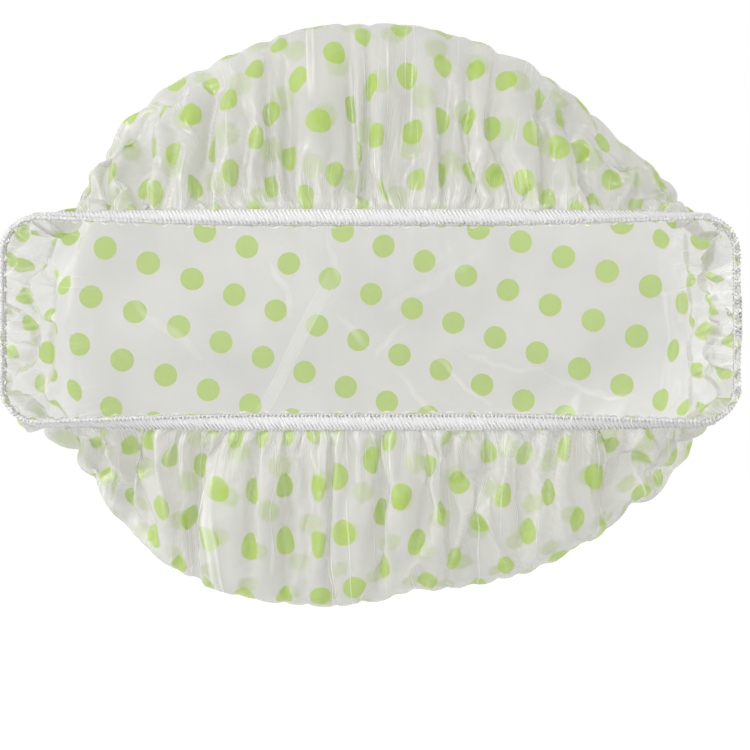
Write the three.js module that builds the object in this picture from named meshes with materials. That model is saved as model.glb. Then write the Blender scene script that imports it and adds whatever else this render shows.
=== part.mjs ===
// A shower cap of printed film, gathered by an elastic band that is overlocked to its edge. It is
// modelled as it is drawn open in use: the mouth is a long slot that faces -Y, the film stands out round
// the slot as a pleated skirt, turns over its widest outline, and closes behind as a smooth crown.
// Millimetres, +Z up, with the origin at the centre of the mouth.
import * as THREE from 'three';

// Mouth: the line that the middle of the hem follows
const MOUTH_LENGTH = 278;
const MOUTH_HEIGHT = 78;
const MOUTH_CORNER_RADIUS = 14;

// Body of the cap
const CAP_DEPTH = 100; // from the mouth back to the middle of the crown
const CROWN_TILT_SHARE = 0.35; // how much deeper the crown gets, of the distance down from its middle
const RIM_RADIUS = 126; // the cap's widest outline, before the shares below
const RIM_DEPTH = 42; // how far that outline lies behind the mouth, before the shares below
const FILM_WALL = 0.6;

// The outline every 20 degrees, counter-clockwise from +X as seen from the front: its radius and its depth
const RIM_SHARES = [
	[1.1, 1.45], [1.12, 1.2], [0.98, 1], [1, 1], [0.99, 1], [1, 1],
	[1, 1], [1.02, 1], [1.05, 1.2], [1.1, 1.45], [1.1, 1.1], [1.04, 0.78],
	[0.98, 0.62], [0.92, 0.58], [0.88, 0.58], [0.94, 0.62], [1.02, 0.78], [1.11, 1.1],
];

// How straight the film leaves its ends, as shares of the distance that each stretch spans
const SKIRT_FROM_HEM_SHARE = 0.36;
const SKIRT_TO_RIM_SHARE = 0.32;
const CROWN_FROM_RIM_SHARE = 0.46;
const CROWN_TO_MIDDLE_SHARE = 0.6;

// Pleats, which start at the hem and die out over the rim
const PLEAT_COUNT = 19;
const PLEAT_DEPTH = 3.6;
const PLEAT_DRIFT_SHARE = 0.35; // how far a pleat strays from even spacing, of one pleat's width
const PLEAT_UNEVEN_SHARE = 0.25; // how much shallower the shallow pleats are
const STEPS_PER_PLEAT = 4;

// Rings of the film: how far each lies along its stretch, and its share of the pleats' full depth
const SKIRT_RING_SHARES = [[0.3, 1], [0.84, 0.5]];
const CROWN_RING_SHARES = [[0.1, 0.25], [0.38, 0.1], [0.74, 0]];

// Hem
const BAND_WIDTH = 4.6;
const BAND_THICKNESS = 0.8;
const BAND_LAP = 14; // the band's two ends lie over each other this far
const BAND_LAP_RAMP = 7;
const SEAM_WIDTH = 6; // across the overlocking
const RAW_EDGE = 1.5; // film left past the seam, towards the mouth
const FLAT_PAST_SEAM = 1.6; // film that stays flat past the seam, towards the skirt
const LAYER_GAP = 0.3;
const HEM_LEAN_RUN = THREE.MathUtils.degToRad(6); // the hem leans back this far on its long runs
const HEM_LEAN_END = THREE.MathUtils.degToRad(78); // and this far at the two ends
const HEM_TWIST_LENGTH = 95; // the lean changes evenly over this much of each run

// Overlock threads
const THREAD_DIAMETER = 0.6;
const THREAD_SIDES = 3;

const BACK = new THREE.Vector3(0, 1, 0);
const FULL_TURN = 2 * Math.PI;

const mouth = mouthPath();
const mouthGirth = mouth.getLength();
const stationCount = PLEAT_COUNT * STEPS_PER_PLEAT;
const stations = Array.from({ length: stationCount }, (_, i) => hemStation(i / stationCount));
const rim = rimCurve();
const crownMiddle = new THREE.Vector3(0, CAP_DEPTH, 0);

// Layers of the hem, measured from the middle of the film towards the outside of the cap
const bandLift = FILM_WALL / 2 + LAYER_GAP + BAND_THICKNESS / 2;
const lapLift = BAND_THICKNESS + LAYER_GAP;
const upperLooperLift = bandLift + BAND_THICKNESS / 2 + LAYER_GAP + THREAD_DIAMETER / 2;
const lowerLooperLift = -(FILM_WALL / 2 + LAYER_GAP + THREAD_DIAMETER / 2);
const needleLift = FILM_WALL / 2 + LAYER_GAP + THREAD_DIAMETER / 2;
const needleLine = BAND_WIDTH / 2 + LAYER_GAP + THREAD_DIAMETER / 2;

function mouthPath() {
	const halfLength = MOUTH_LENGTH / 2;
	const halfHeight = MOUTH_HEIGHT / 2;
	const cornerX = halfLength - MOUTH_CORNER_RADIUS;
	const cornerZ = halfHeight - MOUTH_CORNER_RADIUS;
	const path = new THREE.Path();
	path.moveTo(halfLength, 0);
	path.lineTo(halfLength, cornerZ);
	path.absarc(cornerX, cornerZ, MOUTH_CORNER_RADIUS, 0, FULL_TURN / 4);
	path.lineTo(-cornerX, halfHeight);
	path.absarc(-cornerX, cornerZ, MOUTH_CORNER_RADIUS, FULL_TURN / 4, FULL_TURN / 2);
	path.lineTo(-halfLength, -cornerZ);
	path.absarc(-cornerX, -cornerZ, MOUTH_CORNER_RADIUS, FULL_TURN / 2, FULL_TURN * 3 / 4);
	path.lineTo(cornerX, -halfHeight);
	path.absarc(cornerX, -cornerZ, MOUTH_CORNER_RADIUS, FULL_TURN * 3 / 4, FULL_TURN);
	path.lineTo(halfLength, 0);
	return path;
}

function rimCurve() {
	const points = RIM_SHARES.map(([radiusShare, depthShare], i) => {
		const angle = FULL_TURN * i / RIM_SHARES.length;
		const radius = RIM_RADIUS * radiusShare;
		return new THREE.Vector3(radius * Math.cos(angle), RIM_DEPTH * depthShare, radius * Math.sin(angle));
	});
	return new THREE.CatmullRomCurve3(points, true, 'catmullrom');
}

// The hem at one station round the mouth: its point, the way along it, the way across it into the film,
// and the way out of the cap.
function hemStation(share) {
	const at = mouth.getPoint(share);
	const heading = mouth.getTangent(share);
	const sideways = new THREE.Vector3(heading.y, 0, -heading.x);
	const twist = Math.max(0, 1 - (MOUTH_LENGTH / 2 - Math.abs(at.x)) / HEM_TWIST_LENGTH);
	const lean = THREE.MathUtils.lerp(HEM_LEAN_RUN, HEM_LEAN_END, twist);
	return {
		point: new THREE.Vector3(at.x, 0, at.y),
		across: sideways.clone().multiplyScalar(Math.cos(lean)).addScaledVector(BACK, Math.sin(lean)),
		out: sideways.clone().multiplyScalar(Math.sin(lean)).addScaledVector(BACK, -Math.cos(lean)),
	};
}

// The hem at any share of its girth, on the straight line between the stations on either side, so that
// every layer of the hem bends at the same places.
function hemFrame(share) {
	const place = (share - Math.floor(share)) * stations.length;
	const before = stations[Math.floor(place) % stations.length];
	const after = stations[(Math.floor(place) + 1) % stations.length];
	const between = (key) => before[key].clone().lerp(after[key], place % 1);
	return { point: between('point'), across: between('across'), out: between('out') };
}

// A point of the hem's cross-section, so far across it and so far towards the outside of the cap.
function hemPoint(frame, across, out) {
	return frame.point.clone().addScaledVector(frame.across, across).addScaledVector(frame.out, out);
}

// The film's run from the hem to the middle of the crown, at a share of the girth: skirt, then crown.
function meridian(share) {
	const frame = hemFrame(share);
	const start = hemPoint(frame, SEAM_WIDTH / 2 + FLAT_PAST_SEAM, 0);
	const turn = rim.getPoint(share);
	const skirtSpan = start.distanceTo(turn);
	const skirt = new THREE.CubicBezierCurve3(
		start,
		start.clone().addScaledVector(frame.across, skirtSpan * SKIRT_FROM_HEM_SHARE),
		turn.clone().addScaledVector(BACK, -skirtSpan * SKIRT_TO_RIM_SHARE),
		turn,
	);
	const outward = turn.clone().sub(crownMiddle).setY(0);
	outward.setY(-CROWN_TILT_SHARE * outward.z);
	const crown = new THREE.CubicBezierCurve3(
		turn,
		turn.clone().addScaledVector(BACK, (CAP_DEPTH - turn.y) * CROWN_FROM_RIM_SHARE),
		crownMiddle.clone().addScaledVector(outward, CROWN_TO_MIDDLE_SHARE),
		crownMiddle,
	);
	return { frame, start, skirt, crown };
}

// How far the pleats push the film out at a share of the girth, from -1 to 1.
function pleatWave(share) {
	const drift = PLEAT_DRIFT_SHARE * Math.sin(FULL_TURN * 3 * share);
	const uneven = 1 - PLEAT_UNEVEN_SHARE * (1 + Math.sin(FULL_TURN * 7 * share)) / 2;
	return uneven * Math.cos(FULL_TURN * (PLEAT_COUNT * share + drift));
}

// The film's middle surface as rings of points round the cap, from its raw edge to the last ring before
// the middle.
function filmRings() {
	const runs = Array.from({ length: stationCount }, (_, i) => meridian(i / stationCount));
	const smooth = [
		runs.map((run) => hemPoint(run.frame, -SEAM_WIDTH / 2 - RAW_EDGE, 0)),
		runs.map((run) => hemPoint(run.frame, 0, 0)),
		runs.map((run) => run.start),
		...SKIRT_RING_SHARES.map(([share]) => runs.map((run) => run.skirt.getPointAt(share))),
		...CROWN_RING_SHARES.map(([share]) => runs.map((run) => run.crown.getPointAt(share))),
	];
	const pleatShares = [...SKIRT_RING_SHARES, ...CROWN_RING_SHARES].map((ring) => ring[1]);
	const depths = [0, 0, 0, ...pleatShares];
	const normals = ringNormals(smooth);
	return smooth.map((ring, r) => ring.map((point, i) => {
		const push = PLEAT_DEPTH * depths[r] * pleatWave(i / stationCount);
		return point.clone().addScaledVector(normals[r][i], push);
	}));
}

// The outward normal at each point of a grid of rings.
function ringNormals(rings) {
	return rings.map((ring, r) => ring.map((_, i) => {
		const inner = rings[Math.max(r - 1, 0)][i];
		const outer = rings[Math.min(r + 1, rings.length - 1)][i];
		const before = ring[(i + ring.length - 1) % ring.length];
		const after = ring[(i + 1) % ring.length];
		const round = after.clone().sub(before);
		return round.cross(outer.clone().sub(inner)).normalize().negate();
	}));
}

// One closed mesh through rings that all have as many points; a fan closes each end. The first strips can
// have their quads split the other way, so that the two sides of a wall that is folded back on itself
// stay alike.
function skin(rings, turnedStrips = 0) {
	const count = rings[0].length;
	const positions = rings.flat().flatMap((point) => point.toArray());
	const faces = [];
	for (let r = 0; r + 1 < rings.length; r++) {
		for (let i = 0; i < count; i++) {
			const a = r * count + i;
			const b = r * count + (i + 1) % count;
			if (r < turnedStrips) {
				faces.push(a, a + count, b, b, a + count, b + count);
			} else {
				faces.push(a, b + count, b, a, a + count, b + count);
			}
		}
	}
	const lastRing = (rings.length - 1) * count;
	for (const [first, ring, flip] of [[0, rings[0], false], [lastRing, rings.at(-1), true]]) {
		const centre = positions.length / 3;
		const middle = ring.reduce((sum, point) => sum.add(point), new THREE.Vector3()).divideScalar(count);
		positions.push(...middle.toArray());
		for (let i = 0; i < count; i++) {
			const a = first + i;
			const b = first + (i + 1) % count;
			faces.push(centre, flip ? b : a, flip ? a : b);
		}
	}
	const geometry = new THREE.BufferGeometry();
	geometry.setAttribute('position', new THREE.Float32BufferAttribute(positions, 3));
	geometry.setIndex(faces);
	geometry.computeVertexNormals();
	return geometry;
}

function filmGeometry() {
	const rings = filmRings();
	const normals = ringNormals(rings);
	const shifted = (distance) => rings.map((ring, r) => ring.map((point, i) => (
		point.clone().addScaledVector(normals[r][i], distance)
	)));
	const inside = shifted(-FILM_WALL / 2).reverse();
	const outside = shifted(FILM_WALL / 2);
	return skin([...inside, ...outside], inside.length - 1);
}

// How far a layer over the band's lap is lifted, from 0 to 1, by its distance from the middle of the lap.
function lapRise(distance) {
	return THREE.MathUtils.clamp((BAND_LAP / 2 + BAND_LAP_RAMP - Math.abs(distance)) / BAND_LAP_RAMP, 0, 1);
}

// The elastic band starts under its own far end, and climbs over its start when it has gone round.
function bandGeometry() {
	const stops = Array.from({ length: stationCount + 1 }, (_, i) => mouthGirth * i / stationCount);
	const lapStops = [-BAND_LAP / 2, mouthGirth - BAND_LAP / 2 - BAND_LAP_RAMP, mouthGirth - BAND_LAP / 2];
	stops.push(...lapStops, mouthGirth + BAND_LAP / 2);
	stops.sort((a, b) => a - b);
	return skin(stops.map((distance) => {
		const frame = hemFrame(distance / mouthGirth);
		const rise = distance > mouthGirth / 2 ? lapRise(distance - mouthGirth) : 0;
		const lift = bandLift + lapLift * rise;
		const [near, far] = [lift - BAND_THICKNESS / 2, lift + BAND_THICKNESS / 2];
		return [
			hemPoint(frame, -BAND_WIDTH / 2, near),
			hemPoint(frame, BAND_WIDTH / 2, near),
			hemPoint(frame, BAND_WIDTH / 2, far),
			hemPoint(frame, -BAND_WIDTH / 2, far),
		];
	}));
}

// A thread along points that each have their own outward way.
function threadGeometry(points) {
	const rings = points.map(({ at, out }, i) => {
		const before = points[Math.max(i - 1, 0)].at;
		const after = points[Math.min(i + 1, points.length - 1)].at;
		const heading = after.clone().sub(before).normalize();
		const side = heading.clone().cross(out).normalize();
		const up = side.clone().cross(heading);
		return Array.from({ length: THREAD_SIDES }, (_, k) => {
			const angle = FULL_TURN * k / THREAD_SIDES;
			return at.clone()
				.addScaledVector(up, THREAD_DIAMETER / 2 * Math.cos(angle))
				.addScaledVector(side, -THREAD_DIAMETER / 2 * Math.sin(angle));
		});
	});
	return skin(rings);
}

// A looper thread swings across the seam and back, once between two stations of the hem, and stops half a
// stitch short of its own start. Its first swing is towards the skirt or the mouth. The upper one rides
// over the band's lap.
function looperGeometry(lift, firstSwing, ridesOverLap) {
	const swing = (SEAM_WIDTH - THREAD_DIAMETER) / 2;
	const pitch = mouthGirth / stationCount;
	const stops = Array.from({ length: 2 * stationCount }, (_, i) => pitch * i / 2);
	if (ridesOverLap) {
		const lapEdges = [BAND_LAP / 2, BAND_LAP / 2 + BAND_LAP_RAMP];
		stops.push(...lapEdges, ...lapEdges.map((edge) => mouthGirth - edge));
		stops.sort((a, b) => a - b);
	}
	return threadGeometry(stops.map((distance) => {
		const frame = hemFrame(distance / mouthGirth);
		const phase = distance / pitch - Math.floor(distance / pitch);
		const across = firstSwing * swing * (4 * Math.abs(phase - 0.5) - 1);
		const rise = ridesOverLap ? lapRise(Math.min(distance, mouthGirth - distance)) : 0;
		return { at: hemPoint(frame, across, lift + lapLift * rise), out: frame.out };
	}));
}

// The needle thread runs straight along the seam, beside the band's skirt edge, and stops short of its
// own start.
function needleGeometry() {
	return threadGeometry(Array.from({ length: stationCount }, (_, i) => {
		const frame = hemFrame(i / stationCount);
		return { at: hemPoint(frame, needleLine, needleLift), out: frame.out };
	}));
}

const frostedFilm = new THREE.MeshStandardMaterial({
	color: 0xdfe3d6, roughness: 0.35, metalness: 0, transparent: true, opacity: 0.6,
});
const elasticBraid = new THREE.MeshStandardMaterial({ color: 0xf1efec, roughness: 0.9, metalness: 0 });
const whiteThread = new THREE.MeshStandardMaterial({ color: 0xf7f6f4, roughness: 0.75, metalness: 0 });

function piece(name, geometry, material) {
	const mesh = new THREE.Mesh(geometry, material);
	mesh.name = name;
	return mesh;
}

const cap = new THREE.Group();
cap.add(
	piece('film', filmGeometry(), frostedFilm),
	piece('elastic_band', bandGeometry(), elasticBraid),
	piece('needle_thread', needleGeometry(), whiteThread),
	piece('upper_looper_thread', looperGeometry(upperLooperLift, 1, true), whiteThread),
	piece('lower_looper_thread', looperGeometry(lowerLooperLift, -1, false), whiteThread),
);

export default cap;
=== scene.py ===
"""A shower cap of spotted film with an overlocked elastic hem, drawn open into a long slot that faces -Y.

The film is one round sheet. It is gathered on to the hem in the shape of the CAD model, and Blender's cloth,
with the flat sheet as its rest shape, then settles the pleats. The band and the three overlock threads are
swept round the hem.
"""

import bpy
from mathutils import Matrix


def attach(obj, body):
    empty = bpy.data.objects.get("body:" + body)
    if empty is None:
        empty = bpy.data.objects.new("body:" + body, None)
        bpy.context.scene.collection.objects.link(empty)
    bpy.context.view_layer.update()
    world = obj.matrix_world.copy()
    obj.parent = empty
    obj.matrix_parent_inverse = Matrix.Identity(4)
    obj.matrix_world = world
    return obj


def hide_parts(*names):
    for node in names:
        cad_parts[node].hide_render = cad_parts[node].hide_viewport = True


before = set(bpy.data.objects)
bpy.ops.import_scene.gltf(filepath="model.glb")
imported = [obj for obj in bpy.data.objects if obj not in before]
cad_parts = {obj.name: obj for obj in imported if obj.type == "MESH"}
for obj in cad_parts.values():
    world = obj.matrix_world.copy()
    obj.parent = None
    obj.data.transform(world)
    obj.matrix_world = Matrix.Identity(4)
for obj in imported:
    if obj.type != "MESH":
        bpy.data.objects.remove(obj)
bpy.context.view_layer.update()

import math
from collections import namedtuple

import bmesh
import bpy
import numpy as np
from bpy.props import FloatProperty, FloatVectorProperty, IntProperty, PointerProperty
from mathutils import Vector

bl_info = {
    "name": "Shower cap",
    "version": (1, 0, 0),
    "blender": (4, 5, 0),
    "location": "View3D > Sidebar > Shower cap",
    "description": "Makes a gathered shower cap of spotted film with an overlocked elastic hem",
    "category": "Add Mesh",
}

BODY = "root"
BACK = np.array((0.0, 1.0, 0.0))
FULL_TURN = 2 * math.pi

# The cap's widest outline every 20 degrees, counter-clockwise from +X as seen from the front: shares of the
# rim's radius and depth
RIM_SHARES = (
    (1.12, 1.45), (1.13, 1.2), (1.035, 1.0), (1.01, 1.0), (1.01, 1.0), (1.015, 1.0),
    (1.01, 1.0), (1.065, 1.0), (1.04, 1.2), (1.12, 1.45), (1.1, 1.1), (1.03, 0.78),
    (1.015, 0.62), (0.94, 0.58), (0.88, 0.58), (0.945, 0.62), (1.045, 0.78), (1.155, 1.1),
)

# How straight the film leaves its ends, as shares of the distance that each stretch spans
SKIRT_FROM_HEM_SHARE = 0.4
SKIRT_TO_RIM_SHARE = 0.35
CROWN_FROM_RIM_SHARE = 0.5
CROWN_TO_MIDDLE_SHARE = 0.6

# Points along a corner of the mouth, a run of the skirt, one of the crown, the band, and a thread's stitch
CORNER_STEPS = 24
SKIRT_STEPS = 60
CROWN_STEPS = 80
BAND_STEPS = 700
STITCH_STEPS = 10

# Waves that take up the film's spare length: how many go round, their seed, their share of the depth that
# would take it all up, and the distances from the film's edge where they start, are deepest and end
WAVES = (
    (128, 3, 0.7, 0.008, 0.014, 0.028),
    (48, 1, 0.75, 0.010, 0.028, 0.150),
    (29, 2, 0.2, 0.050, 0.105, 0.250),
)

# How far a wave strays from even spacing, of its width, and the slow waves that make it stray, by how often
# each goes round
UNEVEN_SHARE = 0.8
UNEVEN_WAVES = range(3, 30)

# How much narrower the waves' valleys are than their crests
TUCK_SHARPNESS = 1.5

# The main pleats: how many go round, their depth, how far one strays from even spacing, of a pleat's width,
# and in how many waves, how much shallower the shallow ones are, and in how many waves, and the share of the
# depth by distance from the film's edge
PLEAT_COUNT = 19
PLEAT_DEPTH = 0.004
PLEAT_DRIFT_SHARE = 0.35
PLEAT_DRIFT_WAVES = 3
PLEAT_UNEVEN_SHARE = 0.25
PLEAT_UNEVEN_WAVES = 7
PLEAT_FADE = ((0.010, 0.030, 0.060, 0.090, 0.150), (0, 1, 0.75, 0.15, 0))

# The slack's folds, across the runs: the length of one, how many waves one makes round the cap, their seed,
# how far they go, of a fold's length, the share of the slack that the folds take up, the distances from the
# film's edge over which they start, and how far before the crown they thin out
SLACK_FOLD = 0.036
SLACK_WAVES = 9
SLACK_SEED = 4
SLACK_WAVER_SHARE = 0.6
SLACK_SHARE = 0.5
SLACK_START = (0.012, 0.025)
SLACK_END = 0.02

# The sheet's outermost rings of vertices, by distance from its edge: the hem is sewn there
EDGE_RINGS = (0.014, 0.0105, 0.0075, 0.0045, 0.0015, 0.0)

# The middle of the sheet, as a share of its radius, lies in the crown unfolded
CROWN_SHARE = 0.56

# Film nearer to its edge than this is sewn to the hem, and doesn't settle
SEWN_WIDTH = 0.0095

# How firmly the cloth is held to its gathered shape: by distance from the middle of the runs, and round the
# widest outline by distance from the film's edge
HOLD_RUNS = ((0.09, 0.13), (0.14, 0.3))
HOLD_RIM = ((0.06, 0.09, 0.125, 0.15), (0, 0.34, 0.34, 0))

# How far the settled film is drawn back to its smooth shape at the widest outline, by distance from its edge
RIM_CALM = ((0.05, 0.085, 0.125, 0.16), (0, 0.5, 0.5, 0))

# How the film behaves as cloth while it settles, and the air that swells it
CLOTH_SETTINGS = {
    "quality": 6, "mass": 0.002, "tension_stiffness": 30, "compression_stiffness": 30,
    "shear_stiffness": 15, "bending_stiffness": 2, "use_pressure": True, "uniform_pressure_force": 4,
}

# Fine creases by the hem: distances from the film's edge with the creases' depth there, and two sets of them,
# how many of each go round and their seed
HEM_CREASE_DEPTHS = ((0.0075, 0.0115, 0.018, 0.034), (0, 0.00032, 0.0002, 0))
HEM_CREASE_SETS = ((241, 11), (157, 12))

# The ruffled raw edge: its strength by distance from the edge, how many waves go out of the cap and across
# the hem, with their seeds, how deep both are, how far the edge is drawn back on average, how much fuller the
# ruffle is at the mouth's ends, and where that starts, as a share of half the mouth's length
RUFFLE_FADE = ((0, 0.0015, 0.003), (1, 0.45, 0))
RUFFLE_FLUTTER = (125, 21)
RUFFLE_REACH = (91, 22)
RUFFLE_DEPTH = 0.00055
RUFFLE_REACH_DEPTH = 0.0006
RUFFLE_WIDTH = 0.0007
RUFFLE_FULLNESS = 3
RUFFLE_END_SHARE = 0.88

# How bent the film is, per metre, where it starts to whiten and where it is whitest, the white being part
# real whitening of bent film and part painted highlight
WHITENING_AND_HIGHLIGHT_BENDS = (60, 320)

# Thickness of a thread, pressed against the hem, as a share of its width, and its number of sides
THREAD_PRESS = 0.5
THREAD_SIDES = 6

# Room for the gathered film under the band, and for the band's two ends between each other in the lap
FILM_UNDER_BAND = 0.00015
LAP_ROOM = 0.0001

# How deep the grooves between the band's ribs are
RIB_GROOVE = 0.00012

# How unevenly the stitches lie: along the hem, in stitches, across it and out of the cap
STITCH_SHAKE = (0.07, 0.00006, 0.00003)

# The sheet's radius, in shares, where the smooth crown ends and where the creased skirt begins
CROWN_TO_SKIRT = (0.5, 0.66)

# How much of what lies behind the film it covers: the bare crown and skirt, a fold, whose white is partly
# painted highlight, and a spot
COVER_CROWN = 0.79
COVER_SKIRT = 0.63
COVER_FOLD = 0.95
COVER_SPOT = 0.87

# Short creases in the crown: the middle's place across and up the sheet in mm, the turn from upright in
# degrees, the length and half width in mm, and how strongly each whitens the film, partly as real whitening
# of bent film and partly as painted highlight
CROWN_CREASES = (
    (-42, 19, 22, 34, 2.2, 0.55), (-95, -2, 51, 60, 2.8, 0.35), (21, -31, 45, 34, 1.8, 0.5),
    (44, -25, 53, 38, 1.8, 0.6), (63, -17, 72, 60, 2.0, 0.5), (101, -28, 78, 56, 1.8, 0.45),
    (9, -6, -39, 26, 1.8, 0.45), (-8, -1, 39, 24, 2.6, 0.4), (-18, 34, 4, 40, 2.4, 0.35),
    (30, 22, -62, 60, 3.5, 0.25),
)

# How far a short crease bends, and how fast the fine creases' pattern changes from the hem on, per metre
CREASE_BEND = 0.009
CREASE_DRIFT = 18.0

WHITE = (1, 1, 1, 1)
# The white that folds and creases turn: partly real whitening of bent film, partly painted highlight
FOLD_WHITE_AND_HIGHLIGHT = (1.0, 0.995, 0.97, 1)
FLOOR_GREY = (0.92, 0.92, 0.92, 1)

# The lamps: name, place, width, height and power in watts
LAMPS = (
    ("key", (-0.6, -0.95, 0.8), 0.4, 0.4, 10.5),
    ("left_strip", (-0.9, -0.35, 0.0), 0.06, 1.0, 5.0),
    ("right_strip", (0.9, -0.5, 0.1), 0.06, 1.0, 2.5),
    ("low_fill", (0.1, -0.9, -0.6), 0.8, 0.8, 4.0),
    ("back", (-0.8, 0.9, 0.5), 0.9, 0.9, 1.5),
)
LAMP_AIM = (0, 0.05, 0)

HemFrames = namedtuple("HemFrames", "point along across out")


def millimetres(value):
    return value / 1000


def tint(title, text, default):
    return FloatVectorProperty(name=title, description=text, default=default, subtype="COLOR")


def length(title, text, default):
    return FloatProperty(name=title, description=text, default=default, unit="LENGTH")


def angle(title, text, default):
    return FloatProperty(name=title, description=text, default=default, subtype="ANGLE")


def two_lengths(title, text, default):
    return FloatVectorProperty(name=title, description=text, default=default, size=2, unit="LENGTH")


class CapHemSettings(bpy.types.PropertyGroup):
    """Sizes of the mouth and of the hem that runs round it"""
    mouth_length: length("Mouth length", "Length of the open mouth, along the middle of the hem", 0.278)
    mouth_height: length("Mouth height", "Height of the open mouth, along the middle of the hem", 0.078)
    corner_radius: length("Corner radius", "Radius of the mouth's corners", 0.014)
    lean_run: angle("Lean on the runs", "How far the hem leans back on its long runs", math.radians(6))
    lean_end: angle(
        "Lean at the ends", "How far the hem leans back at the mouth's two ends", math.radians(78))
    twist_length: length("Twist length", "Length of each run over which the lean changes", 0.095)
    band_width: length("Band width", "Width of the elastic band", 0.0046)
    band_thickness: length("Band thickness", "Thickness of the elastic band", 0.0008)
    band_lap: length("Band lap", "How far the band's two ends lie over each other", 0.014)
    lap_ramp: length("Lap ramp", "Length over which the band climbs its own start", 0.007)
    band_ribs: IntProperty(
        name="Band ribs", description="Rubber cords that show as ribs across the band", default=5)
    seam_width: length("Seam width", "Width of the overlocking", 0.006)
    raw_edge: length("Raw edge", "Film left past the seam, towards the mouth", 0.0015)
    flat_past_seam: length(
        "Flat past seam", "Film that stays flat past the seam, towards the skirt", 0.0016)
    stitch_pitch: length("Stitch pitch", "Distance from one overlock stitch to the next", 0.0015)
    looper_thread: length("Looper thread", "Width of the two looper threads", 0.00088)
    needle_thread: length("Needle thread", "Width of the needle thread", 0.0006)
    thread_colour: tint("Thread colour", "Colour of the overlock threads", (0.97, 0.965, 0.966))
    band_colour: tint("Band colour", "Colour of the elastic band", (0.93, 0.925, 0.91))


class CapFilmSettings(bpy.types.PropertyGroup):
    """Sizes of the film, its gathers and its print"""
    disc_diameter: length("Disc diameter", "Diameter of the round sheet that the cap is cut from", 0.5)
    cap_depth: length("Cap depth", "From the mouth back to the middle of the crown", 0.1)
    crown_tilt: FloatProperty(
        name="Crown tilt", description="How much deeper the crown gets, of the distance down", default=0.4)
    rim_radius: length("Rim radius", "Radius of the widest outline, before its shares", 0.125)
    rim_depth: length("Rim depth", "How far the widest outline lies behind the mouth", 0.042)
    grid: IntProperty(name="Grid", description="Faces across the round sheet, an even number", default=128)
    settle_frames: IntProperty(
        name="Settling frames", description="Frames that the cloth settles for", default=30)
    film_colour: tint("Film colour", "Colour of the bare frosted film", (0.69, 0.68, 0.662))
    spot_colour: tint("Spot colour", "Colour of the printed spots", (0.435, 0.59, 0.135))
    spot_diameter: length("Spot diameter", "Diameter of a printed spot", 0.0108)
    spot_spacing: two_lengths(
        "Spot spacing", "Spacing of the spots along their rows and from row to row", (0.0209, 0.0232))
    spot_stagger: length(
        "Spot stagger", "How far each row of spots is shifted along against the one below", -0.002)
    crease_count: FloatProperty(
        name="Crease count", description="How many fine creases, about, go once round by the hem",
        default=420.0)
    spot_turn: angle("Spot turn", "How far the rows of spots are turned on the sheet", math.radians(-20))
    crown_fold_place: two_lengths(
        "Crown fold place", "Where the middle of the crown's fold lies on the sheet", (-0.036, -0.008))
    crown_fold_turn: angle(
        "Crown fold turn", "How far the crown's fold is turned from upright", math.radians(-27))
    crown_fold_length: length("Crown fold length", "Length of the crown's fold", 0.085)
    spot_place: two_lengths("Spot place", "Where one spot's middle lies on the sheet", (-0.006, -0.0057))


class CapStageSettings(bpy.types.PropertyGroup):
    """The floor, the light and the camera"""
    floor_drop: length("Floor drop", "How far the floor lies below the mouth's middle", 0.36)
    floor_size: length("Floor size", "Width of the floor", 6.0)
    camera_distance: length("Camera distance", "From the camera to the plane of the mouth", 0.4)
    camera_side: length("Camera side", "How far the camera stands to +X", 0.002)
    camera_drop: length("Camera drop", "How far the camera stands below the mouth's middle", 0.021)
    lens: FloatProperty(
        name="Lens", description="Focal length on a sensor 36 mm wide, in millimetres", default=50.5)
    sky: FloatProperty(name="Sky", description="Strength of the light from all round", default=0.53)


class CapSettings(bpy.types.PropertyGroup):
    """All settings of the shower cap"""
    hem: PointerProperty(type=CapHemSettings)
    film: PointerProperty(type=CapFilmSettings)
    stage: PointerProperty(type=CapStageSettings)


# Shape of the cap

def mouth_outline(hem):
    """The mouth's rounded rectangle once round, counter-clockwise from +X: distances, points and headings."""
    corner = hem.corner_radius
    half = np.array((hem.mouth_length, hem.mouth_height)) / 2
    points = [np.array(((half[0], 0.0),))]
    headings = [np.array((math.pi / 2,))]
    for quarter, side in enumerate(((1, 1), (-1, 1), (-1, -1), (1, -1))):
        turn = (quarter + np.linspace(0, 1, CORNER_STEPS)) * math.pi / 2
        centre = np.array(side) * (half - corner)
        points.append(centre + corner * np.stack((np.cos(turn), np.sin(turn)), 1))
        headings.append(turn + math.pi / 2)
    points.append(points[0])
    headings.append(headings[0] + FULL_TURN)
    points = np.concatenate(points)
    steps = np.linalg.norm(np.diff(points, axis=0), axis=1)
    return np.concatenate(((0.0,), np.cumsum(steps))), points, np.concatenate(headings)


def girth_of(hem):
    return mouth_outline(hem)[0][-1]


def hem_frames(shares, hem):
    """The hem at shares of its girth: its point, and the ways along it, across it and out of the cap."""
    distances, points, headings = mouth_outline(hem)
    at = (np.asarray(shares) % 1.0) * distances[-1]
    x, z = (np.interp(at, distances, points[:, k]) for k in (0, 1))
    heading = np.interp(at, distances, headings)
    none = np.zeros_like(x)
    point = np.stack((x, none, z), 1)
    along = np.stack((np.cos(heading), none, np.sin(heading)), 1)
    sideways = np.stack((np.sin(heading), none, -np.cos(heading)), 1)
    twist = np.maximum(0, 1 - (hem.mouth_length / 2 - np.abs(x)) / hem.twist_length)
    lean = (hem.lean_run + (hem.lean_end - hem.lean_run) * twist)[:, None]
    across = sideways * np.cos(lean) + BACK * np.sin(lean)
    out = sideways * np.sin(lean) - BACK * np.cos(lean)
    return HemFrames(point, along, across, out)


def hem_points(frames, across, out):
    """Points of the hem's cross-section, so far across it and so far towards the outside of the cap."""
    across, out = (np.broadcast_to(offset, len(frames.point))[:, None] for offset in (across, out))
    return frames.point + frames.across * across + frames.out * out


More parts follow.
